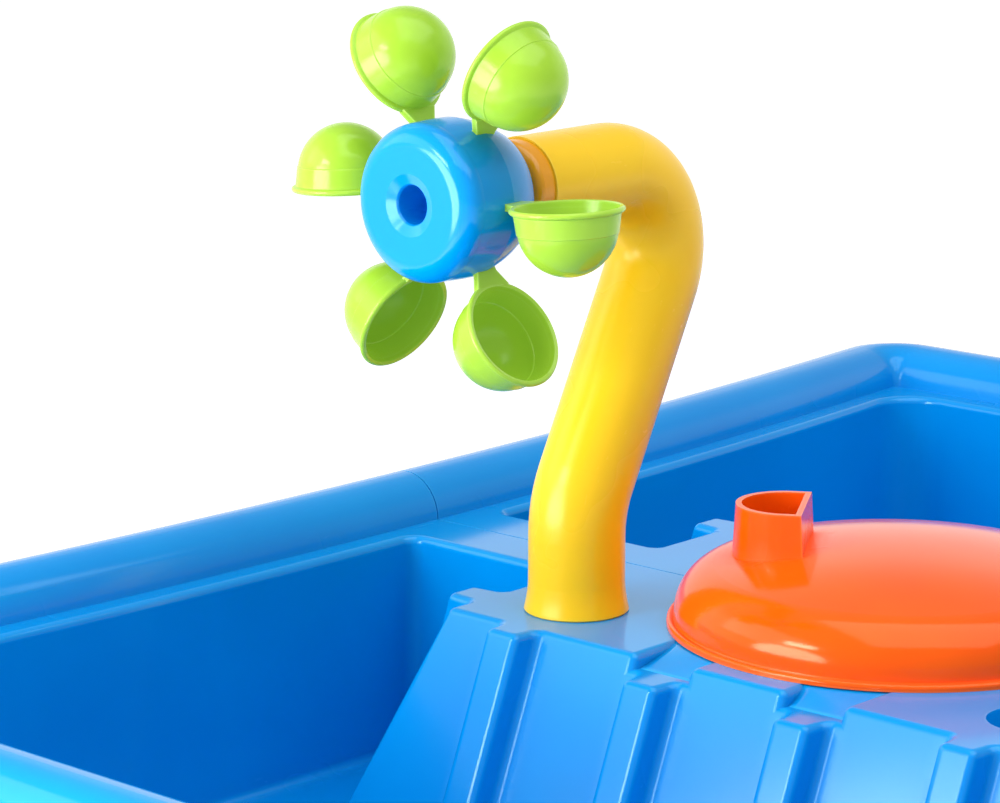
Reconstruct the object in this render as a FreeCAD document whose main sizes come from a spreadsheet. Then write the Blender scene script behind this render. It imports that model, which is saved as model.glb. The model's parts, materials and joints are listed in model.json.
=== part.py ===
import FreeCAD, Part
import math
import os
import re
import Sketcher

# Sand and water play table: two moulded tray halves bolted together at the middle, a central hill with
# ribbed ramps, a domed water cover, a gooseneck spout carrying a wheel of six scoops, drain plugs and legs.
# Frame: +X towards the right-hand tray, +Y towards the back, +Z up, origin on the ground at the centre.
# Lengths are in millimetres. Levels of the tray features are measured down from the deck.

V = FreeCAD.Vector
doc = FreeCAD.newDocument("sand_and_water_table")

SIZES = {
    # tray plan
    "deck": 420.0,  # height of the flat deck above the ground
    "wall": 3.0,  # moulded wall
    "end_line": 448.0,  # centre to the rim tube's axis at the short ends
    "waist_line": 318.0,  # centre to the rim tube's axis at the waist of the long sides
    "waist_bend": 4000.0,  # radius of the inward bow of the long sides
    "rim_radius": 22.0,
    "rim_corner": 26.0,  # bend of the rim tube's axis at the corners
    "skirt": 36.0,  # depth of the outer skirt below the deck
    "ledge": 14.0,  # flat between rim and basin
    "divider": 33.0,  # seam to basin wall
    "basin_depth": 112.0,
    "basin_corner": 24.0,
    "divider_corner": 7.0,
    # central hill
    "ridge": 120.0,  # seam to the ramp's top edge
    "ramp_slope": 0.41,  # run over drop
    "hill_end": 175.0,  # centre to the hill's end edge
    "end_slope": 0.334,
    "rib_pitch": 85.6,
    "rib_crest": 19.0,
    "rib_root": 23.0,
    "rib_out": 14.0,
    "rib_bite": 3.0,  # how far a rib is sunk into its slope
    "end_rib_x": 92.0,
    "end_rib_out": 18.0,
    "recess_radius": 99.0,
    "recess_depth": 7.0,
    "gutter_width": 31.0,
    "skin_round": 4.0,  # moulded edges of deck, ribs and floor
    "seam_gap": 0.4,  # each half stands back from the seam this far along its visible edge
    "seam_depth": 1.2,
    # sockets and spout
    "socket_x": 80.5,
    "socket_y": 129.3,
    "socket_radius": 19.5,
    "socket_depth": 40.0,
    "slip": 0.06,  # radial running clearance
    "gap": 0.05,  # end clearance between stacked faces
    "pipe_radius": 22.9,
    "pipe_wall": 3.0,
    "foot_radius": 24.8,
    "foot_edge": 0.6,
    "foot_height": 14.0,
    "foot_bend": 60.0,
    "tail_end": 37.0,  # depth of the pipe's tail in its socket
    "rise": 36.4,  # straight part above the foot
    "lean": 27.1,  # degrees from upright
    "lean_bend": 56.4,
    "elbow_bend": 38.8,
    "arm_height": 206.2,
    "arm_end": 40.0,  # post axis to the arm's open end
    "plug_nose": 12.0,  # the plug's neck outside the pipe's mouth
    "plug_tail": 16.0,  # the plug's sleeve inside the pipe
    "plug_bend": 4.6,
    # wheel
    "wheel_reach": 83.4,  # post axis to the plane of the scoops
    "scoop_circle": 67.0,
    "scoop_turn": 3.0,  # degrees, rest position of the wheel
    "hub_radius": 36.2,
    "hub_front": 29.0,  # plane of the scoops to the hub's front face
    "hub_rear": 23.0,  # plane of the scoops to the hub's back
    "rear_radius": 28.5,
    "brim": 3.0,  # thickness of the cover that closes the hub's back
    "hub_wall": 3.0,
    "barrel_draw": 0.6,  # narrowing of the barrel towards the nose
    "barrel_bow": 60.0,
    "nose_bend": 10.0,  # rounding between the flat nose and the barrel
    "nose_bore": 14.0,  # mouth of the nose's countersink
    "nose_dish": 1.8,  # depth of that countersink
    "cap_bore": 8.8,
    "cap_wall": 1.4,
    "inner_end": -15.0,  # back end of the hub's inner tube
    "axle_tip": 4.0,
    "axle_radius": 4.0,
    "press": 0.02,  # radial clearance of pieces pressed on and never turned
    "bowl_radius": 22.3,
    "bowl_depth": 30.8,
    "bowl_step": 12.0,
    "step_out": 0.4,  # the small ledge between the bowl's round and its skirt
    "bowl_wall": 1.8,
    "bead": 25.4,
    "bead_height": 3.0,
    "bead_round": 1.2,
    "stem_width": 12.0,
    "stem_flare": 10.0,  # half width of the stem where it meets the bead
    "stem_thick": 3.2,
    "stem_tip": 27.0,  # axle line to the stem's inner end
    "slot_depth": 4.0,  # slots reach this far inside the stem's tip
    # dome
    "lip_radius": 108.4,
    "lip_foot": 0.05,
    "lip_top": 3.2,
    "lip_round": 1.6,
    "lip_groove": 0.4,
    "inlet_base": 24.0,
    "dome_radius": 105.0,
    "dome_height": 40.0,
    "crown_bend": 345.0,
    "edge_bend": 24.0,
    "dome_wall": 2.5,
    "inlet_radius": 23.8,
    "inlet_straight": 9.2,
    "inlet_wall": 2.8,
    "inlet_top": 56.0,
    "inlet_reach": 53.5,
    "inlet_angle": 122.0,
    "inlet_draft": 3.0,  # degrees
    "pivot_radius": 5.0,
    "pivot_shank": 5.9,
    "pivot_seat": -4.5,
    "pivot_top": 8.0,
    "pivot_foot": 13.0,  # length of the pin's shank below the recess floor
    "boss_radius": 11.0,
    "clip_radius": 11.0,
    "clip_thick": 3.0,
    # underside
    "bolt_radius": 3.0,
    "bolt_head": 6.0,
    "head_height": 4.0,
    "bolt_nut": 4.5,
    "bolt_level": 22.0,
    "bolt_inner": 90.0,
    "bolt_outer": 250.0,
    "drain_x": 330.0,
    "drain_radius": 15.0,
    "drain_flange": 6.0,
    "drain_grip": 10.0,
    "seal": 2.0,
    "seal_width": 5.0,
    "leg_x": 372.0,
    "leg_y": 262.0,
    "leg_radius": 24.5,
    "leg_foot": 20.0,
    "leg_wall": 2.5,
    "leg_ring": 14.0,  # height of the stop ring under the collar
    "ring_out": 2.0,
    "collar": 36.0,
    "screw_radius": 2.5,
    "boot_radius": 24.0,
    "boot_height": 34.0,
    "boot_sole": 4.0,
}

sheet = doc.addObject("Spreadsheet::Sheet", "Dim")
for row, (word, number) in enumerate(SIZES.items(), start=1):
    sheet.set(f"A{row}", word)
    sheet.set(f"B{row}", str(number))
    sheet.setAlias(f"B{row}", word)
doc.recompute()


def formula(text):
    """Turns a formula in plain size words into an expression on the sheet."""
    return re.sub(r"[a-z_]+", lambda found: "Dim." + found[0] if found[0] in SIZES else found[0], str(text))


def value(text):
    return float(sheet.evalExpression(formula(text)))


def bind(thing, path, text):
    thing.setExpression(path, formula(text))


# ---------------------------------------------------------------- Part primitives bound to the sheet

def primitive(kind, name, **sizes):
    thing = doc.addObject("Part::" + kind, name)
    for path, text in sizes.items():
        bind(thing, path, text)
    return thing


def put(thing, x=0, y=0, z=0):
    """Binds an object's place to formulas."""
    for axis, text in (("x", x), ("y", y), ("z", z)):
        bind(thing, ".Placement.Base." + axis, text)
    return thing


def box(name, x0, x1, y0, y1, z0, z1):
    made = primitive("Box", name, Length=f"({x1}) - ({x0})", Width=f"({y1}) - ({y0})",
                     Height=f"({z1}) - ({z0})")
    return put(made, x0, y0, z0)


def cylinder(name, radius, x, y, z0, z1):
    return put(primitive("Cylinder", name, Radius=radius, Height=f"({z1}) - ({z0})"), x, y, z0)


def rod(name, radius, x0, x1, y, z):
    """A cylinder along X."""
    made = primitive("Cylinder", name, Radius=radius, Height=f"({x1}) - ({x0})")
    made.Placement.Rotation = FreeCAD.Rotation(V(0, 1, 0), 90)
    return put(made, x0, y, z)


def fuse(name, *pieces):
    made = doc.addObject("Part::MultiFuse", name)
    made.Shapes = list(pieces)
    return made


def cut(name, base, *tools):
    made = doc.addObject("Part::Cut", name)
    made.Base = base
    made.Tool = tools[0] if len(tools) == 1 else fuse(name + "_tools", *tools)
    return made


def rounded(name, base, picks):
    """Fillets those edges of base for which picks gives a radius."""
    doc.recompute()
    made = doc.addObject("Part::Fillet", name)
    made.Base = base
    chosen = []
    for number, edge in enumerate(base.Shape.Edges, start=1):
        radius = picks(edge)
        if radius:
            chosen.append((number, radius, radius))
    made.Edges = chosen
    return made


# ---------------------------------------------------------------- sketches and bodies

def draw(sketch, corners, closed=True):
    """Draws an outline whose corners are (across, up) or (across, up, bend) formulas.

    bend is the radius of the arc that leads to the corner, and its sign gives the side of the arc's centre:
    positive for the left of the way the outline is drawn."""
    points = [V(value(corner[0]), value(corner[1]), 0) for corner in corners]
    count = len(corners)
    ends = {}
    for i in range(0 if closed else 1, count):
        start, end = points[i - 1], points[i]
        if len(corners[i]) == 2:
            ends[i] = (sketch.addGeometry(Part.LineSegment(start, end)), 1, 2)
            continue
        bend = value(corners[i][2])
        chord = end - start
        left = V(-chord.y, chord.x, 0).normalize()
        away = math.sqrt(max(0, bend * bend - chord.Length ** 2 / 4))
        centre = (start + end) * 0.5 + left * math.copysign(away, bend)
        first, last = (start, end) if bend > 0 else (end, start)
        angles = [math.atan2(p.y - centre.y, p.x - centre.x) for p in (first, last)]
        if angles[1] < angles[0]:
            angles[1] += 2 * math.pi
        arc = Part.ArcOfCircle(Part.Circle(centre, V(0, 0, 1), abs(bend)), angles[0], angles[1])
        index = sketch.addGeometry(arc)
        ends[i] = (index, 1, 2) if bend > 0 else (index, 2, 1)
        fix(sketch, f"bend_{i}", Sketcher.Constraint("Radius", index, abs(bend)), f"abs({corners[i][2]})")
    for i, (index, start, end) in ends.items():
        following = (i + 1) % count
        if following in ends and (closed or following != 0):
            other = ends[following]
            sketch.addConstraint(Sketcher.Constraint("Coincident", index, end, other[0], other[1]))
        pin_point(sketch, i, index, end, corners[i], points[i])
    if not closed:
        index, start, end = ends[1]
        pin_point(sketch, 0, index, start, corners[0], points[0])


def pin_point(sketch, number, index, end, corner, point):
    for kind, text, size in (("DistanceX", corner[0], point.x), ("DistanceY", corner[1], point.y)):
        fix(sketch, f"{kind}_{number}", Sketcher.Constraint(kind, -1, 1, index, end, size), text)


def fix(sketch, name, constraint, text):
    number = sketch.addConstraint(constraint)
    sketch.renameConstraint(number, name)
    bind(sketch, "Constraints." + name, text)


def draw_circle(sketch, radius, across, up):
    centre = V(value(across), value(up), 0)
    index = sketch.addGeometry(Part.Circle(centre, V(0, 0, 1), value(radius)))
    fix(sketch, "radius", Sketcher.Constraint("Radius", index, value(radius)), radius)
    pin_point(sketch, 0, index, 3, (across, up), centre)


def new_body(label):
    return doc.addObject("PartDesign::Body", label)


def drawing(body, name, role, corners, closed=True, offset=None):
    """A sketch on one of the body's origin planes; a circle is given as its radius and centre."""
    sketch = body.newObject("Sketcher::SketchObject", name)
    plane = [item for item in body.Origin.OriginFeatures if item.Role == role][0]
    sketch.AttachmentSupport = (plane, [""])
    sketch.MapMode = "FlatFace"
    if offset:
        sketch.AttachmentOffset = offset
    if isinstance(corners, tuple):
        draw_circle(sketch, *corners)
    else:
        draw(sketch, corners, closed)
    return sketch


def revolve(body, name, corners, kind="Revolution"):
    """Turns an outline of (radius, height) corners round the body's Z axis."""
    sketch = drawing(body, name + "_outline", "XZ_Plane", corners)
    made = body.newObject("PartDesign::" + kind, name)
    made.Profile = sketch
    made.ReferenceAxis = (sketch, ["V_Axis"])
    made.Angle = 360
    return made


def pad(body, name, role, corners, length, offset=None, taper=0, kind="Pad", **settings):
    sketch = drawing(body, name + "_outline", role, corners, offset=offset)
    made = body.newObject("PartDesign::" + kind, name)
    made.Profile = sketch
    bind(made, "Length", length)
    if taper:
        made.TaperAngle = taper
    for setting, state in settings.items():
        setattr(made, setting, state)
    return made


def turned(label, corners):
    body = new_body(label)
    revolve(body, label + "_turn", corners)
    return body


def rectangle(x0, x1, y0, y1):
    return [(x0, y0), (x1, y0), (x1, y1), (x0, y1)]


# ---------------------------------------------------------------- tray halves

FLOOR = "(- basin_depth)"
UNDER = "(- basin_depth - wall)"
PAD_LEVEL = "(- recess_depth - wall)"
SCREW_LEVEL = f"({UNDER} - collar / 2)"
TRAY_SIDE = {1: "back", -1: "front"}


def is_upright(edge):
    bounds = edge.BoundBox
    return bounds.XLength < 0.01 and bounds.YLength < 0.01


def plan_prism(name, out, right, z0, z1, end_corner, seam_corner=0):
    """A prism of the tray's plan, grown by `out` from the rim's axis, from its left end to `right`."""
    block = box(name + "_block", f"- (end_line + {out})", right, "- 400", "400", z0, z1)
    bows = []
    for side, word in TRAY_SIDE.items():
        radius = f"waist_bend - ({out})"
        bows.append(cylinder(f"{name}_bow_{word}", radius, 0, f"{side} * (waist_line + waist_bend)", z0, z1))
    plain = cut(name + "_plain", block, *bows)
    left = -value(f"end_line + {out}")
    limit = value(right)

    def corner(edge):
        x = edge.Vertexes[0].X
        if is_upright(edge) and abs(x - left) < 0.01:
            return value(end_corner)
        if is_upright(edge) and abs(x - limit) < 0.01:
            return value(seam_corner)
        return 0

    return rounded(name, plain, corner)


def rim_tube(name, radius, base):
    """The half-round tube that runs round the tray, standing on the level `base`."""
    outer = plan_prism(name + "_outer", radius, 0, base, radius, f"rim_corner + {radius}")
    inner = plan_prism(name + "_inner", f"(- {radius})", 10, f"{base} - 1", f"{radius} + 1",
                       f"rim_corner - {radius}")
    ring = cut(name + "_ring", outer, inner)
    top = value(radius)

    def crest(edge):
        bounds = edge.BoundBox
        level = abs(bounds.ZMin - top) < 0.01 and abs(bounds.ZMax - top) < 0.01
        return top * 0.9995 if level and bounds.XMin < -0.1 else 0

    return rounded(name, ring, crest)


def frustum(name, inset, top, bottom):
    """The hill's body between two levels, with its sides drawn in by `inset`."""
    def reach(start, slope, level):
        return f"({start} - {slope} * ({level}) - {inset})"

    wedge = primitive(
        "Wedge", name,
        Xmin="- " + reach("ridge", "ramp_slope", top), X2min="- " + reach("ridge", "ramp_slope", bottom),
        Xmax=f"- {inset}", X2max=f"- {inset}",
        Zmin="- " + reach("hill_end", "end_slope", top), Zmax=reach("hill_end", "end_slope", top),
        Z2min="- " + reach("hill_end", "end_slope", bottom), Z2max=reach("hill_end", "end_slope", bottom),
        Ymin=0, Ymax=f"({top}) - ({bottom})")
    wedge.Placement.Rotation = FreeCAD.Rotation(V(1, 0, 0), -90)
    return put(wedge, 0, 0, top)


def slope_rib(name, angle, start, slope, out, across, inset, top, bottom):
    """A rib down a slope: a trapezoid at level `top` pushed down along the slope.

    angle turns the slope's outward direction from +X, start is the slope's edge at deck level."""
    sketch = doc.addObject("Sketcher::SketchObject", name + "_outline")
    root = f"{start} - {slope} * ({top}) - rib_bite"
    crest = f"{start} - {slope} * ({top}) + {out} - {inset}"
    half_crest = f"(rib_crest / 2 - {inset})"
    flare = f"(rib_root - rib_crest) / 2 / {out} * ({out} + rib_bite)"
    draw(sketch, [(root, f"- {half_crest} - {flare}"), (crest, f"- {half_crest}"),
                  (crest, half_crest), (root, f"{half_crest} + {flare}")])
    made = doc.addObject("Part::Extrusion", name)
    made.Base = sketch
    made.DirMode = "Custom"
    made.Dir = V(value(slope), 0, -1)
    made.Solid = True
    bind(made, "LengthFwd", f"(({top}) - ({bottom})) * sqrt(1 + {slope} * {slope})")
    made.Placement.Rotation = FreeCAD.Rotation(V(0, 0, 1), angle)
    if angle == 180:
        return put(made, 0, across, top)
    return put(made, across, 0, top)


def hill(name, inset, top, bottom):
    """The central hill's left half, with four ribs on the ramp and one at each end."""
    pieces = [frustum(name + "_body", inset, top, bottom)]
    for number, step in enumerate((1.5, 0.5, -0.5, -1.5), start=1):
        level = top if abs(step) > 1 else f"({top}) - recess_depth"
        pieces.append(slope_rib(f"{name}_rib_{number}", 180, "ridge", "ramp_slope", "rib_out",
                                f"{step} * rib_pitch", inset, level, bottom))
    for side, word in TRAY_SIDE.items():
        pieces.append(slope_rib(f"{name}_end_rib_{word}", 90 * side, "hill_end", "end_slope", "end_rib_out",
                                "- end_rib_x", inset, top, bottom))
    return fuse(name, *pieces)


def gutters(name, grow, z0, z1):
    """The round recess inside the dome's lip and the two gutters that leave it for the middle ribs."""
    pieces = [cylinder(name + "_round", f"recess_radius + {grow}", 0, 0, z0, z1)]
    for side, word in TRAY_SIDE.items():
        middle = f"{side} * rib_pitch / 2"
        half = f"(gutter_width / 2 + {grow})"
        pieces.append(box(f"{name}_{word}", "- ridge - rib_out - 8", "- recess_radius / 2",
                          f"{middle} - {half}", f"{middle} + {half}", z0, z1))
    return fuse(name, *pieces)


def tray_skin():
    """The tray's upper skin over a solid underside, with its moulded edges rounded."""
    apron = plan_prism("apron", "rim_radius", 0, "- skirt", 0, "rim_corner + rim_radius")
    tub = basin("tub", "wall", UNDER, 0)
    full = fuse("tray_full", apron, tub, rim_tube("rim", "rim_radius", "0"))
    hollow = basin("basin", "0", FLOOR, "rim_radius + 1")
    opened = cut("tray_opened", full, hollow)
    raised = fuse("tray_raised", opened, hill("hill", "0", "0", f"{FLOOR} - 1"))
    carved = cut("tray_carved", raised, gutters("gutter", "0", "- recess_depth", 1))
    floor = value(FLOOR)
    basin_left = -value("end_line - rim_radius - ledge")
    basin_back = value("waist_line - rim_radius") + 8
    ridge = -value("ridge") - 0.5

    def moulded(edge):
        """Deck, slope and floor edges inside the basin, but not tangent corner seams or gutter feet."""
        bounds = edge.BoundBox
        if bounds.XMin < basin_left - 0.5 or bounds.XMax > -value("divider") + 0.5:
            return 0
        if max(-bounds.YMin, bounds.YMax) > basin_back or bounds.ZMax < floor - 0.5 or is_upright(edge):
            return 0
        level = abs(bounds.ZMin + value("recess_depth")) < 0.01 and bounds.ZLength < 0.01
        return 0 if level and bounds.XMax > ridge else value("skin_round")

    return rounded("tray_skin", carved, moulded)


def basin(name, grow, z0, z1):
    return plan_prism(name, f"({grow} - rim_radius - ledge)", f"{grow} - divider", z0, z1,
                      f"basin_corner + {grow}", f"divider_corner + {grow}")


def tray_core():
    """The space under the skin that leaves a wall of even thickness."""
    under = plan_prism("core_plan", "(rim_radius - wall)", "- wall", "- skirt - 1", "- wall",
                       "rim_corner + rim_radius - wall")
    around = cut("core_around", under, basin("core_tub", "wall", "- skirt - 2", 0))
    tube = rim_tube("core_rim", "(rim_radius - wall)", "- wall - 1")
    below = hill("core_hill", "wall", "- wall", f"{UNDER} - 1")
    pads = [gutters("core_pad", "wall", PAD_LEVEL, 0)]
    for side, word in TRAY_SIDE.items():
        pads.append(cylinder("socket_boss_" + word, "socket_radius + wall", "- socket_x",
                             f"{side} * socket_y", "- socket_depth", 0))
    return cut("tray_core", fuse("core_spaces", around, tube, below), *pads)


def tray_holes():
    """Post sockets, the pivot hole, bolt holes through the seam wall and the drain hole."""
    holes = [
        cylinder("pivot_hole", "pivot_shank + slip", 0, 0, "- recess_depth - 6", 0),
        cylinder("clip_space", "clip_radius + 2", 0, 0, "- recess_depth - 16", PAD_LEVEL),
        cylinder("drain_hole", "drain_radius", "- drain_x", 0, f"{UNDER} - 1", f"{FLOOR} + 1"),
    ]
    for side, word in TRAY_SIDE.items():
        holes.append(cylinder("socket_" + word, "socket_radius", "- socket_x", f"{side} * socket_y",
                              "- socket_depth - 1", 1))
        for place in ("bolt_inner", "bolt_outer"):
            holes.append(rod(f"{place}_hole_{word}", "bolt_radius + 0.2", "- wall - 1", 1,
                             f"{side} * {place}", "- bolt_level"))
    return fuse("tray_holes", *holes)


def seam_line():
    """The fine line that shows along the deck and the rim where the two halves meet."""
    edge = "(waist_line + rim_radius)"
    band = box("seam_band", "- seam_gap", 1, f"- {edge} - 1", f"{edge} + 1", "- skirt - 1", "rim_radius + 1")
    kept = [box("seam_deck", "- seam_gap - 1", 2, f"- {edge} + seam_depth", f"{edge} - seam_depth",
                "- skirt - 2", "- seam_depth")]
    for side, word in TRAY_SIDE.items():
        kept.append(rod("seam_rim_" + word, "rim_radius - seam_depth", "- seam_gap - 1", 2,
                        f"{side} * waist_line", 0))
    return cut("seam_line", band, *kept)


def leg_collars(name, radius, z0, z1):
    pieces = []
    for side, word in TRAY_SIDE.items():
        pieces.append(cylinder(f"{name}_{word}", radius, "- leg_x", f"{side} * leg_y", z0, z1))
    return fuse(name, *pieces)


def make_trays():
    shell = cut("tray_shell", tray_skin(), tray_core(), tray_holes(), seam_line())
    collars = leg_collars("collar", "leg_radius + wall", f"{UNDER} - collar", f"{UNDER} + 1")
    bores = leg_collars("collar_bore", "leg_radius + gap", f"{UNDER} - collar - 1", UNDER)
    screw_holes = []
    for side, word in TRAY_SIDE.items():
        screw_holes.append(rod("screw_hole_" + word, "screw_radius + slip",
                               "- leg_x - leg_radius - wall - 1", "- leg_x", f"{side} * leg_y", SCREW_LEVEL))
    left = cut("tray_left", fuse("tray_with_collars", shell, collars), bores, *screw_holes)
    put(left, 0, 0, "deck")
    right = doc.addObject("Part::Mirroring", "tray_right")
    right.Source = left
    right.Normal = (1, 0, 0)
    return [left, right]


# ---------------------------------------------------------------- fixings, legs and drains

def make_seam_fixings():
    """Four bolts with nuts that clamp the two seam walls together."""
    face = "(wall + gap)"
    tip = "(wall + bolt_nut + 2)"
    bolts, nuts = [], []
    for side, word in TRAY_SIDE.items():
        for place in ("bolt_inner", "bolt_outer"):
            row = f"{side} * {place}"
            name = f"{place}_{word}"
            shank = rod(name + "_shank", "bolt_radius", f"- {face}", tip, row, "- bolt_level")
            head = rod(name + "_head", "bolt_head", f"- {face} - head_height", f"- {face}", row,
                       "- bolt_level")
            bolts.append(fuse(name, shank, head))
            nut = primitive("Prism", name + "_nut_block", Circumradius="bolt_head", Height="bolt_nut")
            nut.Polygon = 6
            nut.Placement.Rotation = FreeCAD.Rotation(V(0, 1, 0), 90)
            put(nut, face, row, "- bolt_level")
            bore = rod(name + "_nut_bore", "bolt_radius + press", 0, f"{tip} + 1", row, "- bolt_level")
            nuts.append(cut(name + "_nut", nut, bore))
    return [put(group("seam_bolts", bolts), 0, 0, "deck"), put(group("seam_nuts", nuts), 0, 0, "deck")]


def group(label, pieces):
    made = doc.addObject("Part::Compound", label)
    made.Links = pieces
    return made


LEG_TOP = f"({UNDER} - gap)"
CORNERS = {"left_back": (-1, 1), "left_front": (-1, -1), "right_back": (1, 1), "right_front": (1, -1)}


def make_leg(corner, sx, sy):
    """A hollow tapered leg, plugged into its collar; its foot stands in a boot."""
    body = new_body("leg_" + corner)
    ground = "(- deck + boot_sole)"
    knee = f"({ground} + boot_height)"
    stop = f"({LEG_TOP} - collar)"
    taper = f"({stop} - leg_ring - 2 * ring_out)"
    revolve(body, "leg_turn_" + corner, [
        ("leg_radius - leg_wall", LEG_TOP), ("leg_radius", LEG_TOP), ("leg_radius", stop),
        ("leg_radius + ring_out", f"{stop} - ring_out"), ("leg_radius + ring_out", f"{stop} - leg_ring"),
        ("leg_radius", taper), ("leg_foot", knee), ("leg_foot", ground), ("leg_foot - leg_wall", ground),
        ("leg_foot - leg_wall", knee), ("leg_radius - leg_wall", taper)])
    body.Tip = pad(body, "leg_screw_hole_" + corner, "YZ_Plane", ("screw_radius + slip", 0, SCREW_LEVEL),
                   "leg_radius + 2 * ring_out", kind="Pocket", Reversed=sx > 0)
    return put(body, f"{sx} * leg_x", f"{sy} * leg_y", "deck")


def make_boot(corner, sx, sy):
    """A soft foot cap that closes the leg's lower end."""
    top = "(- deck + boot_height)"
    sole = "(- deck + boot_sole - gap)"
    body = turned("foot_" + corner, [
        (0, "- deck"), ("boot_radius - ring_out", "- deck"), ("boot_radius", "- deck + ring_out"),
        ("boot_radius", f"{top} - boot_sole"), ("boot_radius - ring_out", top),
        ("leg_foot + gap", top), ("leg_foot + gap", sole), (0, sole)])
    return put(body, f"{sx} * leg_x", f"{sy} * leg_y", "deck")


def make_leg_screws():
    """One cross screw in each leg collar, driven in from the table's end."""
    seat = "(leg_x + leg_radius + wall + gap)"
    tip = "(leg_x + leg_radius - leg_wall - screw_radius)"
    head = f"({seat} + screw_radius)"
    sections = (("shank", "screw_radius", tip, seat), ("head", "screw_radius * 2", seat, head))
    screws = []
    for corner, (sx, sy) in CORNERS.items():
        pieces = []
        for name, radius, near, far in sections:
            left, right = (near, far) if sx > 0 else ("- " + far, "- " + near)
            pieces.append(rod(f"screw_{name}_{corner}", radius, left, right, f"{sy} * leg_y", SCREW_LEVEL))
        screws.append(fuse("leg_screw_" + corner, *pieces))
    return put(group("leg_screws", screws), 0, 0, "deck")


def make_drain(side, sign):
    """A push-in plug from below with its flat seal."""
    top = f"({FLOOR} - 1)"
    flange = f"({UNDER} - seal - 2 * gap)"
    base = f"({flange} - seal * 2)"
    plug = new_body("drain_plug_" + side)
    revolve(plug, "drain_turn_" + side, [
        (0, top), ("drain_radius - slip", top), ("drain_radius - slip", flange),
        ("drain_radius + drain_flange", flange), ("drain_radius + drain_flange", base), (0, base)])
    half = "drain_radius * 0.7"
    plug.Tip = pad(plug, "drain_grip_" + side, "XZ_Plane",
                   rectangle(f"- {half}", half, f"{base} - drain_grip", f"{base} + 1"), "seal * 2",
                   Midplane=True)
    upper, lower = f"{UNDER} - gap", f"{UNDER} - seal - gap"
    seal = turned("drain_seal_" + side, [
        ("drain_radius + slip", upper), ("drain_radius + seal_width", upper),
        ("drain_radius + seal_width", lower), ("drain_radius + slip", lower)])
    for piece in (plug, seal):
        put(piece, f"{sign} * drain_x", 0, "deck")
    return [plug, seal]


# ---------------------------------------------------------------- dome cover and its pivot

def make_dome():
    """The domed cover: a shallow crown with a rolled lip, a D-shaped inlet and a pivot boss underneath."""
    body = new_body("dome_cover")
    inner_crown = "(crown_bend - dome_wall)"
    share = "((dome_radius - edge_bend) / (crown_bend - edge_bend))"
    rise = f"sqrt(1 - {share} * {share})"
    middle = "(dome_height - crown_bend)"
    edge_level = f"({middle} + (crown_bend - edge_bend) * {rise})"
    ceiling = "(pivot_top + 1)"
    seat = "(pivot_seat + gap)"
    revolve(body, "dome_turn", [
        ("dome_radius - dome_wall", "lip_foot"), ("lip_radius", "lip_foot"),
        ("lip_radius", "lip_top - lip_round"), ("lip_radius - lip_round", "lip_top", "lip_round"),
        ("dome_radius + lip_groove", "lip_top - lip_groove"), ("dome_radius", "lip_top + lip_groove"),
        ("dome_radius", edge_level),
        (f"crown_bend * {share}", f"{middle} + crown_bend * {rise}", "edge_bend"),
        (0, "dome_height", "crown_bend"), (0, ceiling), ("pivot_radius + slip", ceiling),
        ("pivot_radius + slip", seat), ("boss_radius - lip_round", seat),
        ("boss_radius", f"{middle} + sqrt({inner_crown} ^ 2 - boss_radius ^ 2)"),
        (f"{inner_crown} * {share}", f"{middle} + {inner_crown} * {rise}", f"- {inner_crown}"),
        ("dome_radius - dome_wall", edge_level, "- (edge_bend - dome_wall)")])
    top = FreeCAD.Placement(V(0, 0, value("inlet_top")), FreeCAD.Rotation(V(0, 0, 1), value("inlet_angle")))
    pad(body, "inlet_tube", "XY_Plane", inlet_outline("0"), "inlet_top - inlet_base", offset=top,
        taper=value("inlet_draft"), Reversed=True)
    body.Tip = pad(body, "inlet_opening", "XY_Plane", inlet_outline("inlet_wall"),
                   "inlet_top - inlet_base + 1", offset=top, kind="Pocket")
    return put(body, 0, 0, "deck")


def inlet_outline(inset):
    """A D: flat towards the dome's centre, round end outward."""
    flat = f"inlet_reach - inlet_straight + {inset}"
    half = f"(inlet_radius - {inset})"
    return [(flat, f"- {half}"), ("inlet_reach", f"- {half}"), (f"inlet_reach + {half}", 0, half),
            ("inlet_reach", half, half), (flat, half)]


def make_pivot():
    """The pin the dome turns on, dropped through both trays and held by a clip below."""
    foot = "(- recess_depth - pivot_foot)"
    rest = "(- recess_depth + gap)"
    pin = turned("dome_pivot_pin", [
        (0, foot), ("pivot_shank", foot), ("pivot_shank", rest), ("clip_radius", rest),
        ("clip_radius", "pivot_seat"), ("pivot_radius", "pivot_seat"), ("pivot_radius", "pivot_top - 1"),
        ("pivot_radius - 1", "pivot_top"), (0, "pivot_top")])
    under = f"({PAD_LEVEL} - gap)"
    clip = turned("pivot_clip", [
        ("pivot_shank + press", under), ("clip_radius", under),
        ("clip_radius", f"{under} - clip_thick"), ("pivot_shank + press", f"{under} - clip_thick")])
    return [put(pin, 0, 0, "deck"), put(clip, 0, 0, "deck")]


# ---------------------------------------------------------------- gooseneck spout

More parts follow.
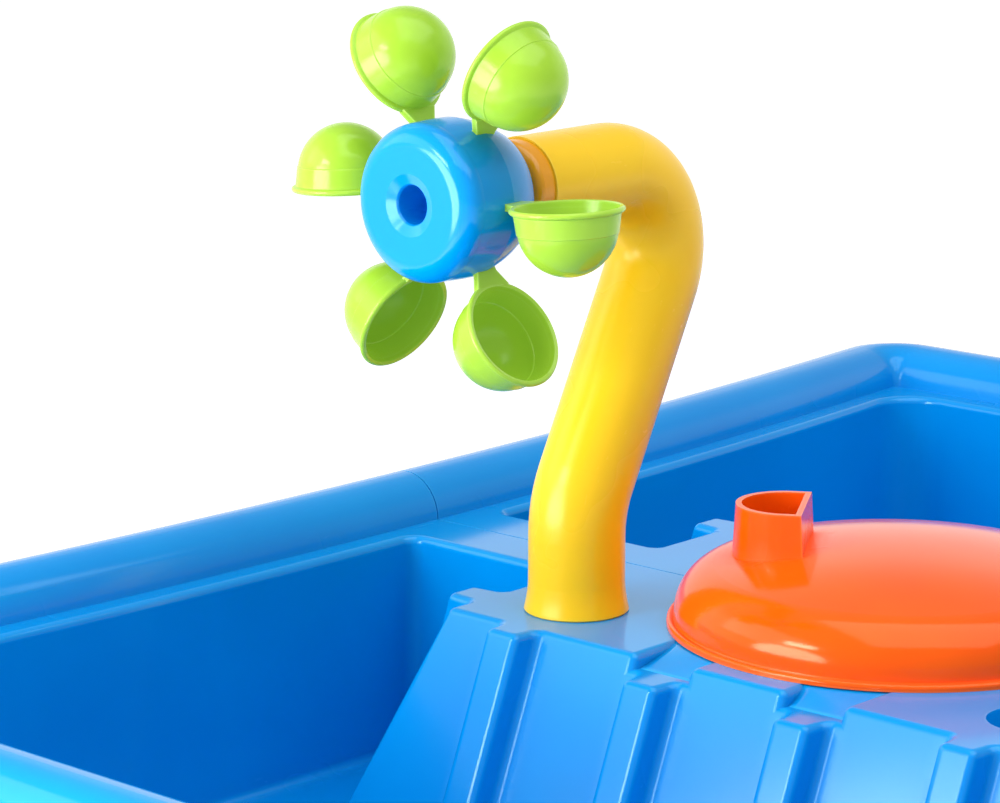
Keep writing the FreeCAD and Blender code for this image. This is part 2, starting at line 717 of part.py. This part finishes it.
def make_spout():
    """A bent pipe that stands in a deck socket and carries the wheel at its open end."""
    body = new_body("gooseneck_pipe")
    lower_x = "(lean_bend * (1 - cos(lean)))"
    lower_z = "(rise + lean_bend * sin(lean))"
    straight = f"((arm_height - elbow_bend * (1 + sin(lean)) - {lower_z}) / cos(lean))"
    upper_x = f"({lower_x} + {straight} * sin(lean))"
    upper_z = f"({lower_z} + {straight} * cos(lean))"
    elbow_x = f"({upper_x} - elbow_bend * cos(lean))"
    path = drawing(body, "pipe_path", "XZ_Plane", [
        (0, "gap"), (0, "rise"), (lower_x, lower_z, "- lean_bend"), (upper_x, upper_z),
        (f"{elbow_x} + elbow_bend", "arm_height - elbow_bend", "elbow_bend"),
        (elbow_x, "arm_height", "elbow_bend"), ("- arm_end", "arm_height")], closed=False)
    start = FreeCAD.Placement(V(0, 0, value("gap")), FreeCAD.Rotation())
    for name, radius, kind in (("pipe_outside", "pipe_radius", "AdditivePipe"),
                               ("pipe_bore", "pipe_radius - pipe_wall", "SubtractivePipe")):
        ring = drawing(body, name + "_ring", "XY_Plane", (radius, 0, 0), offset=start)
        sweep = body.newObject("PartDesign::" + kind, name)
        sweep.Profile = ring
        sweep.Spine = (path, [])
    tail = "(socket_radius - slip)"
    body.Tip = revolve(body, "pipe_foot", [
        (f"{tail} - pipe_wall", "- tail_end"), (f"{tail} - 1", "- tail_end"), (tail, "- tail_end + 2"),
        (tail, "gap"), ("foot_radius - foot_edge", "gap"), ("foot_radius", "gap + foot_edge"),
        ("foot_radius - foot_edge / 3", "gap + 3 * foot_edge"),
        ("pipe_radius", "foot_height", "- foot_bend"), ("pipe_radius - pipe_wall", "foot_height"),
        (f"{tail} - pipe_wall", "foot_height - pipe_wall - 1")])
    return put(body, "- socket_x", "socket_y", "deck")


def along_axle(piece, reach, turn=0):
    """Stands a piece on the wheel's axle line, its own Z pointing out of the pipe's end."""
    piece.Placement.Rotation = FreeCAD.Rotation(V(1, 0, 0), turn) * FreeCAD.Rotation(V(0, 1, 0), -90)
    return put(piece, f"- socket_x - ({reach})", "socket_y", "deck + arm_height")


def make_axle():
    """The plug in the pipe's end, the axle fixed in it and the push-on cap that keeps the wheel on."""
    back = "(- hub_rear - 1)"
    mouth = "(arm_end - wheel_reach)"
    grip = "(axle_radius + press)"
    neck = "(axle_radius + 7)"
    sleeve = "(pipe_radius - pipe_wall - gap)"
    tail = f"({mouth} - plug_tail)"
    plug = turned("pipe_end_plug", [
        (grip, back), (f"{neck} - 1", back), (neck, f"{back} - 1"), (neck, f"{mouth} + plug_nose"),
        ("pipe_radius - 1 - plug_bend + 0.6", f"{mouth} + plug_nose - 1"),
        ("pipe_radius - 1", f"{mouth} + plug_nose - 5", "- plug_bend"),
        ("pipe_radius - 1", f"{mouth} + gap"), (sleeve, f"{mouth} + gap"), (sleeve, tail),
        (f"{neck} - 3", tail), (grip, f"{tail} + 4")])
    end = f"({mouth} - plug_nose + 2)"
    axle = turned("wheel_axle", [
        (0, end), ("axle_radius", end), ("axle_radius", "axle_tip - 0.5"),
        ("axle_radius - 0.5", "axle_tip"), (0, "axle_tip")])
    seat = "(gap * 2)"
    rim = "(cap_bore - 10 * slip)"
    cap = turned("axle_cap", [
        (grip, seat), (rim, seat), (rim, "axle_tip"), (f"{rim} - 1", "axle_tip + cap_wall"),
        (0, "axle_tip + cap_wall"), (0, "axle_tip + gap"), (grip, "axle_tip + gap")])
    return [along_axle(piece, "wheel_reach") for piece in (plug, axle, cap)]


# ---------------------------------------------------------------- scoop wheel

SCOOPS = 6


def make_hub():
    """A barrel with a dished nose, an inner tube that runs on the axle, and a cover at the back."""
    bore = "(axle_radius + slip)"
    tube = "(axle_radius + hub_wall)"
    well = "(cap_bore + hub_wall)"
    nose = "(hub_radius - nose_bend - 1)"
    inner_nose = "(hub_front - hub_wall)"
    shoulder = "(hub_front - nose_bend - 1)"
    front = "(hub_radius - barrel_draw)"
    rear = "(- hub_rear + brim)"
    step = "(rear_radius - 1)"
    shell = new_body("hub_shell")
    revolve(shell, "hub_turn", [
        (bore, "inner_end"), (tube, "inner_end"), (tube, "- hub_wall"), (well, "- hub_wall"),
        (well, f"{inner_nose} - hub_wall"), (f"{well} + 2 * hub_wall", inner_nose), (nose, inner_nose),
        (f"{front} - hub_wall", shoulder, "- (nose_bend - hub_wall + 1)"), ("hub_radius - hub_wall", 0),
        (f"{step} - hub_wall", f"{rear} + 2", "- barrel_bow"), (step, f"{rear} + 2"), (step, rear),
        ("rear_radius + 1", rear), ("hub_radius", 0, "barrel_bow"), (front, shoulder, "200"),
        (nose, "hub_front", "nose_bend"), ("nose_bore", "hub_front"),
        ("cap_bore + barrel_draw", "hub_front - nose_dish"), ("cap_bore", "hub_front - nose_dish - 1"),
        ("cap_bore", 0), (bore, 0)])
    lift = FreeCAD.Placement(V(0, 0, value("stem_tip - slot_depth")), FreeCAD.Rotation())
    slot = pad(shell, "stem_slot", "YZ_Plane",
               rectangle("- stem_thick - gap", "gap", "- stem_width / 2 - gap", "stem_width / 2 + gap"),
               "hub_radius", kind="Pocket", Reversed=True, offset=lift)
    doc.recompute()
    ring = shell.newObject("PartDesign::PolarPattern", "stem_slots")
    ring.Originals = [slot]
    ring.Axis = ([item for item in shell.Origin.OriginFeatures if item.Role == "Z_Axis"][0], [""])
    ring.Angle = 360
    ring.Occurrences = SCOOPS
    shell.Tip = ring
    lid = f"({step} - 0.1)"
    lid_bore = f"({bore} + gap)"
    sleeve = "(axle_radius + 2 * brim)"
    cover = turned("hub_back", [
        (lid_bore, "- hub_rear"), ("rear_radius - 5", "- hub_rear"),
        ("rear_radius + 1", f"{rear} - 0.1", "2 * brim"), (lid, f"{rear} - 0.1"), (lid, f"{rear} + 1.9"),
        (f"{lid} - 2", f"{rear} + 1.9"), (f"{lid} - 2", f"{rear} - 0.5"), (sleeve, f"{rear} - 0.5"),
        (sleeve, "inner_end - gap"), (lid_bore, "inner_end - gap")])
    for piece in (shell, cover):
        along_axle(piece, "wheel_reach", 180 / SCOOPS - value("scoop_turn"))
    return [shell, cover]


def make_scoop(number):
    """One deep round bowl with a beaded rim, on a flat stem that snaps into the hub."""
    body = new_body(f"scoop_{number}")
    inner = "(bowl_radius - bowl_wall)"
    drop = "(bowl_depth - bowl_radius - bowl_step)"
    edge = f"sqrt(bowl_radius ^ 2 - {drop} ^ 2)"
    inner_edge = f"sqrt({inner} ^ 2 - {drop} ^ 2)"
    revolve(body, f"bowl_turn_{number}", [
        (0, "- bowl_depth"), (edge, "- bowl_step", "bowl_radius"),
        (f"{edge} + step_out", "- bowl_step + step_out"),
        ("bead - bowl_wall", "- bead_height"), ("bead - bowl_wall / 2", "- bead_height + step_out"),
        ("bead", "- bead_height / 2", "bead_round"), ("bead - bead_round", 0, "bead_round * 1.25"),
        ("bead - bead_round * 2", "- step_out"), (f"{inner_edge} + step_out", "- bowl_step + step_out"),
        (inner_edge, "- bowl_step"), (0, "- bowl_depth + bowl_wall", f"- {inner}")])
    tip = "- scoop_circle + stem_tip"
    neck = "- scoop_circle + hub_radius + 0.5"
    root = "- bead + bead_round * 2"
    foot = FreeCAD.Placement(V(0, 0, -value("stem_thick")), FreeCAD.Rotation())
    outline = [(tip, "- stem_width / 2"), (neck, "- stem_width / 2"), (root, "- stem_flare"),
               (root, "stem_flare"), (neck, "stem_width / 2"), (tip, "stem_width / 2")]
    body.Tip = pad(body, f"stem_{number}", "XY_Plane", outline, "stem_thick", offset=foot)
    angle = 360 / SCOOPS * (number - 1) + value("scoop_turn")
    lift = math.radians(angle)
    place = V(-value("socket_x + wheel_reach"), value("socket_y") - value("scoop_circle") * math.cos(lift),
              value("deck + arm_height") + value("scoop_circle") * math.sin(lift))
    body.Placement = FreeCAD.Placement(
        place, FreeCAD.Rotation(V(1, 0, 0), -angle) * FreeCAD.Rotation(V(0, 0, 1), -90))
    return body


# ---------------------------------------------------------------- build, check and write

def build_all():
    parts = make_trays() + make_seam_fixings() + [make_spout()] + make_axle() + make_hub()
    parts += [make_scoop(number + 1) for number in range(SCOOPS)]
    parts += [make_dome()] + make_pivot()
    for side, sign in (("left", -1), ("right", 1)):
        parts += make_drain(side, sign)
    for corner, (sx, sy) in CORNERS.items():
        parts += [make_leg(corner, sx, sy), make_boot(corner, sx, sy)]
    parts.append(make_leg_screws())
    return parts


def check(parts):
    failed = [item.Label for item in doc.Objects if "Invalid" in item.State or "Error" in item.State]
    if failed:
        raise RuntimeError("did not rebuild: " + ", ".join(failed))
    for part in parts:
        if part.Shape.isNull() or not part.Shape.isValid():
            raise RuntimeError(f"{part.Label} has no valid shape")


parts = build_all()
doc.recompute()
check(parts)
os.makedirs("parts", exist_ok=True)
for part in parts:
    part.Shape.exportStep(f"parts/{part.Label}.step")
    print(part.Label, len(part.Shape.Solids), "solid(s)", round(part.Shape.Volume / 1000, 2), "cm3")
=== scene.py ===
import json
import math

import bmesh
import bpy
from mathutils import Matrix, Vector


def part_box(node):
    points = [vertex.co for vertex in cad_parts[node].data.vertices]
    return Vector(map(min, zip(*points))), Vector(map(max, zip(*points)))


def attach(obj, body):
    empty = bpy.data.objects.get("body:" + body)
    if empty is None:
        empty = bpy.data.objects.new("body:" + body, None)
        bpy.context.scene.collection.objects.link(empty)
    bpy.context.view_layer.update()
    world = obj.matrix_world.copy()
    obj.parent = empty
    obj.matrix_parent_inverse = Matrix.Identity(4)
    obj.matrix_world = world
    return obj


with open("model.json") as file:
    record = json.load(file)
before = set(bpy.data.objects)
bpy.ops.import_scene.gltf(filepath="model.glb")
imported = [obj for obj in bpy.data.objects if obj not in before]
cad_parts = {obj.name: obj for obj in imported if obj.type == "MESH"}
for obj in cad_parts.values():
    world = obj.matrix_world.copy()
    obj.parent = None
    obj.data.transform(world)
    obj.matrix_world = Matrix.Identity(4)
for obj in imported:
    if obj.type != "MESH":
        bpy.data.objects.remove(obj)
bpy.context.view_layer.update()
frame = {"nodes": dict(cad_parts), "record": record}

# Looks for the sand and water table: every CAD node keeps its shape and gets a moulded plastic, steel or
# rubber finish, two small pieces slope the gutters beside the dome, and a pale studio surrounds the table.
# Lengths are in metres, and the angles of lamps and camera in degrees.

scene = bpy.context.scene


# ---------------------------------------------------------------- node helpers

class Nodes:
    """Builds one material's node tree with short calls."""

    def __init__(self, name):
        self.material = bpy.data.materials.new(name)
        self.material.use_nodes = True
        self.tree = self.material.node_tree
        self.tree.nodes.clear()

    def add(self, kind, inputs=None, **settings):
        node = self.tree.nodes.new(kind)
        for key, value in settings.items():
            setattr(node, key, value)
        for key, value in (inputs or {}).items():
            self.feed(node.inputs[key], value)
        return node

    def feed(self, socket, value):
        """Links the socket to another one, or sets its own value."""
        if isinstance(value, bpy.types.NodeSocket):
            self.tree.links.new(value, socket)
        else:
            socket.default_value = value

    def place(self):
        return self.add("ShaderNodeTexCoord").outputs["Object"]

    def noise(self, place, scale, detail=2.0, rough=0.5):
        inputs = {"Vector": place, "Scale": scale, "Detail": detail, "Roughness": rough}
        return self.add("ShaderNodeTexNoise", inputs).outputs["Fac"]

    def span(self, value, from_low, from_high, to_low, to_high):
        """Maps one range of values to another, and stops at its ends."""
        inputs = {"Value": value, "From Min": from_low, "From Max": from_high}
        inputs |= {"To Min": to_low, "To Max": to_high}
        return self.add("ShaderNodeMapRange", inputs).outputs["Result"]

    def closeness(self, reach, inside=False):
        """Falls from 1 where other surfaces of the piece come within reach, outside it or inside it."""
        node = self.add("ShaderNodeAmbientOcclusion", {"Distance": reach}, samples=4, inside=inside)
        node.only_local = True
        return node.outputs["AO"]

    def total(self, first, second):
        node = self.add("ShaderNodeMath", operation="ADD")
        self.feed(node.inputs[0], first)
        self.feed(node.inputs[1], second)
        return node.outputs[0]

    def mix(self, factor, first, second):
        inputs = {"Factor": factor, "A": first, "B": second}
        node = self.add("ShaderNodeMix", data_type="RGBA")
        for key, value in inputs.items():
            self.feed(node.inputs[key], value)
        return node.outputs["Result"]

    def bump(self, height, strength, distance, normal=None):
        inputs = {"Height": height, "Strength": strength, "Distance": distance}
        if normal is not None:
            inputs["Normal"] = normal
        return self.add("ShaderNodeBump", inputs).outputs["Normal"]

    def finish(self, inputs):
        """Ends the tree with a shader that has these inputs, and returns the material."""
        shader = self.add("ShaderNodeBsdfPrincipled", inputs)
        output = self.add("ShaderNodeOutputMaterial")
        self.tree.links.new(shader.outputs[0], output.inputs["Surface"])
        return self.material


def rgb(red, green, blue):
    """A linear colour from display values of 0 to 255."""
    def linear(value):
        value /= 255
        return value / 12.92 if value <= 0.04045 else ((value + 0.055) / 1.055) ** 2.4
    return (linear(red), linear(green), linear(blue), 1)


# ---------------------------------------------------------------- materials

WHITE = (1, 1, 1, 1)
EDGE_HIGHLIGHT_REACH = 0.0012  # thinner than the thinnest moulded wall, so that the painted highlight lightens only edges
CORNER_REACH = 0.012  # how far from an inner corner the polish fades
GLOW_DEPTH = 0.004  # how far light travels inside the plastic
PEEL_DEPTH = 0.0005  # slow waves of the moulded skin
GRAIN_DEPTH = 0.00012


def moulded_plastic(name, base, deep, highlight_and_speck, tint=WHITE, gloss=0.2, glow=0.06, lift=0.0):
    """Glossy plastic: cloudy pigment, painted edge highlights, dull inner corners, orange peel, scuffs and
    inner glow.

    The pigment drifts between base and deep. Edges turn towards the pale colour as a painted highlight, and
    specks turn towards it as pale flecks. Gloss is the roughness of the polished skin, glow the share of
    light that passes below it, and lift the strength of a painted glow: light given off by the plastic
    itself, which brightens its shade."""
    n = Nodes(name)
    place = n.place()
    cloud = n.noise(place, scale=9.0, detail=3.0)
    speck = n.noise(place, scale=900.0)
    colour = n.mix(n.span(cloud, 0.35, 0.65, 0, 1), base, deep)
    # Painted highlight: edges and sharp corners are lightened towards the pale colour.
    colour = n.mix(n.span(n.closeness(EDGE_HIGHLIGHT_REACH, inside=True), 0.90, 0.60, 0, 0.35), colour, highlight_and_speck)
    colour = n.mix(n.span(speck, 0.72, 0.80, 0, 0.08), colour, highlight_and_speck)

    lengthwise = {"Vector": place, "Scale": (1.0, 14.0, 3.0), "Rotation": (0.3, 0.5, 0.7)}
    scratch = n.noise(n.add("ShaderNodeMapping", lengthwise).outputs[0], scale=60.0, detail=6.0, rough=0.7)
    rough = n.span(cloud, 0.3, 0.7, gloss * 0.85, gloss * 1.2)
    rough = n.total(rough, n.span(scratch, 0.64, 0.76, 0, 0.08))
    rough = n.total(rough, n.span(n.closeness(CORNER_REACH), 0.85, 0.60, 0, 0.35))

    peel = n.bump(n.noise(place, scale=14.0, detail=1.0), 0.35, PEEL_DEPTH)
    grain = n.bump(n.noise(place, scale=420.0), 0.08, GRAIN_DEPTH, peel)
    # Emission at strength lift is a painted glow: the plastic gives off light of its own, which brightens its
    # shaded parts.
    return n.finish({
        "Base Color": colour, "Roughness": rough, "Normal": grain, "IOR": 1.5, "Specular Tint": tint,
        "Subsurface Weight": glow, "Subsurface Radius": (GLOW_DEPTH,) * 3, "Subsurface Scale": 1.0,
        "Emission Color": colour, "Emission Strength": lift})


def worn_metal(name, base):
    """Steel with a fine grain and duller patches."""
    n = Nodes(name)
    place = n.place()
    grain = n.noise(place, scale=700.0, detail=4.0, rough=0.7)
    patch = n.noise(place, scale=60.0, detail=3.0)
    colour = n.mix(n.span(patch, 0.35, 0.7, 0, 0.5), base, rgb(120, 122, 126))
    rough = n.span(grain, 0.3, 0.7, 0.25, 0.45)
    return n.finish({"Base Color": colour, "Roughness": rough, "Metallic": 1.0,
                     "Normal": n.bump(grain, 0.3, 0.0001)})


def soft_rubber(name, base):
    """Matt rubber, dusty in patches."""
    n = Nodes(name)
    place = n.place()
    grain = n.noise(place, scale=1200.0, detail=3.0)
    patch = n.noise(place, scale=40.0, detail=4.0)
    colour = n.mix(n.span(patch, 0.4, 0.7, 0, 0.4), base, rgb(120, 122, 125))
    rough = n.span(grain, 0.3, 0.7, 0.55, 0.75)
    return n.finish({"Base Color": colour, "Roughness": rough, "Sheen Weight": 0.2,
                     "Normal": n.bump(grain, 0.4, 0.0002)})


def blue_plastic():
    return moulded_plastic(
        "blue_plastic", base=rgb(0, 146, 224), deep=rgb(0, 139, 218), highlight_and_speck=rgb(60, 185, 245),
        tint=(0.6, 0.94, 1.0, 1), gloss=0.13)


def yellow_plastic():
    return moulded_plastic(
        "yellow_plastic", base=rgb(250, 204, 32), deep=rgb(246, 196, 22), highlight_and_speck=rgb(252, 218, 104),
        tint=(1.0, 0.9, 0.6, 1), gloss=0.26, glow=0.25)


def amber_plastic():
    return moulded_plastic(
        "amber_plastic", base=rgb(240, 165, 6), deep=rgb(228, 150, 4), highlight_and_speck=rgb(250, 190, 60))


def orange_plastic():
    return moulded_plastic(
        "orange_plastic", base=rgb(255, 94, 8), deep=rgb(254, 84, 4), highlight_and_speck=rgb(255, 140, 80),
        tint=(1.0, 0.70, 0.48, 1), gloss=0.14, glow=0.15)


def lime_plastic():
    # lift gives the lime scoops a painted glow that brightens their shaded insides.
    return moulded_plastic(
        "lime_plastic", base=rgb(154, 194, 54), deep=rgb(144, 186, 46), highlight_and_speck=rgb(200, 232, 128),
        tint=(0.8, 1.0, 0.7, 1), glow=0.3, lift=0.20)


MATERIALS = {
    "blue_plastic": blue_plastic(),
    "yellow_plastic": yellow_plastic(),
    "amber_plastic": amber_plastic(),
    "orange_plastic": orange_plastic(),
    "lime_plastic": lime_plastic(),
    "steel": worn_metal("steel", rgb(205, 207, 210)),
    "rubber": soft_rubber("rubber", rgb(38, 38, 40)),
    "grey_rubber": soft_rubber("grey_rubber", rgb(70, 72, 76)),
}


def dress_cad():
    """Gives every CAD node the finish that its record slot names."""
    slots = {entry["node"]: entry["material_slot"] for entry in frame["record"]["subparts"]}
    for name, thing in frame["nodes"].items():
        thing.data.materials.clear()
        thing.data.materials.append(MATERIALS[slots[name]])


# ---------------------------------------------------------------- gutter floors

DECK = 0.42  # height of the flat deck above the ground
RIB_PITCH = 0.0856
GUTTER_WIDTH = 0.031
GUTTER_END = 0.1185  # from the seam to where a gutter meets its rib
GUTTER_DEPTH = 0.007  # at the ribs
GUTTER_LIP = 0.0006  # depth left where a gutter leaves the dome
MOUTH_ROUND = 0.004  # rounding along the top of the gutter's walls
OVERLAP = 0.0002  # how far a fill reaches into the walls around it
SECTIONS_UNDER_DOME = 3
SECTIONS_OUTSIDE = 12
STEPS_ACROSS = 8


def gutter_section(run, centre, lip):
    """The closed outline of a gutter's fill: run is 0 at the dome's edge and 1 at the rib."""
    depth = GUTTER_LIP + (GUTTER_DEPTH + OVERLAP - GUTTER_LIP) * max(0.0, run)
    bend = max(0.0, MOUTH_ROUND - depth)
    flare = MOUTH_ROUND - math.sqrt(MOUTH_ROUND ** 2 - bend ** 2)
    half = GUTTER_WIDTH / 2 + flare + OVERLAP
    top = []
    for step in range(STEPS_ACROSS + 1):
        across = centre + half * (2 * step / STEPS_ACROSS - 1)
        edge = math.sqrt(lip ** 2 - across ** 2) - 2 * OVERLAP
        top.append((-edge - (GUTTER_END - edge) * run, across, DECK - depth))
    base = [(x, y, DECK - GUTTER_DEPTH - 2 * OVERLAP) for x, y, _ in reversed(top)]
    return top + base


def closed_loft(outlines):
    """A mesh through a row of closed outlines, with both ends capped and its upper side smooth."""
    mesh = bmesh.new()
    rings = [[mesh.verts.new(point) for point in outline] for outline in outlines]
    for first, second in zip(rings, rings[1:]):
        for corner in range(len(first)):
            after = (corner + 1) % len(first)
            mesh.faces.new((first[corner], first[after], second[after], second[corner]))
    mesh.faces.new(rings[0])
    mesh.faces.new(reversed(rings[-1]))
    bmesh.ops.recalc_face_normals(mesh, faces=mesh.faces)
    for face in mesh.faces:
        face.smooth = face.normal.z > 0.5
    return mesh


def gutter_floor(name, side):
    """A tapering fill that raises a gutter's floor from its rib up to the round edge of the dome."""
    low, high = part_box("dome_cover")
    lip = (high.x - low.x) / 2
    runs = [count / SECTIONS_OUTSIDE for count in range(-SECTIONS_UNDER_DOME, SECTIONS_OUTSIDE + 1)]
    mesh = closed_loft([gutter_section(run, side * RIB_PITCH / 2, lip) for run in runs])
    data = bpy.data.meshes.new(name)
    mesh.to_mesh(data)
    mesh.free()
    data.materials.append(MATERIALS["blue_plastic"])
    thing = bpy.data.objects.new(name, data)
    scene.collection.objects.link(thing)
    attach(thing, "table")


# ---------------------------------------------------------------- stage, light and camera

CAMERA_AZIMUTH = 42.591
CAMERA_TILT = 12.38
CAMERA_DISTANCE = 1.712
CAMERA_LENS = 132.12  # millimetres, on a sensor 36 mm wide
CAMERA_AIM = Vector((-0.1050, 0.1558, 0.5202))  # beside the spout, above the deck


def middle(node):
    low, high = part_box(node)
    return (Vector(low) + Vector(high)) / 2


def direction(azimuth, elevation):
    turn, lift = math.radians(azimuth), math.radians(elevation)
    return Vector((math.cos(turn) * math.cos(lift), math.sin(turn) * math.cos(lift), math.sin(lift)))


def make_floor():
    """A wide pale floor that glows a little, so that it stays close to white."""
    reach = 40.0
    mesh = bpy.data.meshes.new("floor")
    corners = [(-reach, -reach, 0), (reach, -reach, 0), (reach, reach, 0), (-reach, reach, 0)]
    mesh.from_pydata(corners, [], [(0, 1, 2, 3)])
    floor = bpy.data.objects.new("floor", mesh)
    scene.collection.objects.link(floor)
    n = Nodes("floor")
    tone = n.mix(n.noise(n.place(), scale=3.0), (0.93, 0.93, 0.93, 1), (0.96, 0.96, 0.96, 1))
    mesh.materials.append(n.finish({
        "Base Color": tone, "Roughness": 0.8, "Emission Color": WHITE, "Emission Strength": 0.5}))


def make_world():
    """A studio whose far side is bright near the horizon, under a dimmer ceiling and with a dim near side."""
    dim, bright = 0.49, 1.03
    world = bpy.data.worlds.new("studio")
    scene.world = world
    world.use_nodes = True
    tree = world.node_tree
    view = tree.nodes.new("ShaderNodeTexCoord").outputs["Generated"]

    def along(way, low, high):
        """Rises from 0 to 1 as the view turns that way."""
        dot = tree.nodes.new("ShaderNodeVectorMath")
        dot.operation = "DOT_PRODUCT"
        tree.links.new(view, dot.inputs[0])
        dot.inputs[1].default_value = way
        ramp = tree.nodes.new("ShaderNodeMapRange")
        ramp.interpolation_type = "SMOOTHSTEP"
        ramp.inputs["From Min"].default_value = low
        ramp.inputs["From Max"].default_value = high
        tree.links.new(dot.outputs["Value"], ramp.inputs["Value"])
        return ramp.outputs["Result"]

    far_side = along((0.62, 0.78, 0), low=-0.25, high=0.35)
    below_ceiling = along((0, 0, -1), low=-0.60, high=-0.35)
    both = tree.nodes.new("ShaderNodeMath")
    both.operation = "MULTIPLY"
    tree.links.new(far_side, both.inputs[0])
    tree.links.new(below_ceiling, both.inputs[1])
    level = tree.nodes.new("ShaderNodeMapRange")
    level.inputs["To Min"].default_value = dim
    level.inputs["To Max"].default_value = bright
    tree.links.new(both.outputs[0], level.inputs["Value"])
    tree.links.new(level.outputs["Result"], tree.nodes["Background"].inputs["Strength"])
    tree.nodes["Background"].inputs["Color"].default_value = WHITE


def softbox(name, aim, azimuth, elevation, distance, width, height, power, shape="RECTANGLE"):
    """A flat lamp that faces aim and is seen from it in the given direction."""
    away = direction(azimuth, elevation)
    light = bpy.data.lights.new(name, "AREA")
    light.shape = shape
    light.size = width
    light.size_y = height
    light.energy = power
    lamp = bpy.data.objects.new(name, light)
    scene.collection.objects.link(lamp)
    lamp.location = aim + away * distance
    lamp.rotation_euler = (-away).to_track_quat("-Z", "Y").to_euler()


def make_lights():
    """A broad low key at the left, a bright strip above it, a faint panel, and a big box overhead."""
    dome = middle("dome_cover")
    nearer = dome + Vector((-0.125, -0.795, 0))  # towards the camera, under the overhead box
    softbox("key", dome, azimuth=161, elevation=5, distance=1.7, width=1.2, height=0.85, power=27,
            shape="ELLIPSE")
    softbox("edge", dome, azimuth=164, elevation=26, distance=1.9, width=0.5, height=0.22, power=7)
    softbox("panel", dome, azimuth=138, elevation=27, distance=1.8, width=1.5, height=0.8, power=6)
    softbox("overhead", nearer, azimuth=-137.4, elevation=89, distance=1.9, width=2.4, height=2.27, power=34)


def make_camera():
    """Looks from the front left towards the spout, a little down on the deck, with a long lens."""
    camera = bpy.data.cameras.new("camera")
    camera.lens = CAMERA_LENS
    camera.sensor_width = 36.0
    thing = bpy.data.objects.new("camera", camera)
    scene.collection.objects.link(thing)
    thing.location = CAMERA_AIM - direction(CAMERA_AZIMUTH, -CAMERA_TILT) * CAMERA_DISTANCE
    thing.rotation_euler = (math.radians(90 - CAMERA_TILT), 0, math.radians(CAMERA_AZIMUTH - 90))
    scene.camera = thing


dress_cad()
gutter_floor("gutter_floor_front", side=-1)
gutter_floor("gutter_floor_back", side=1)
make_floor()
make_world()
make_lights()
make_camera()
scene.view_settings.view_transform = "Standard"
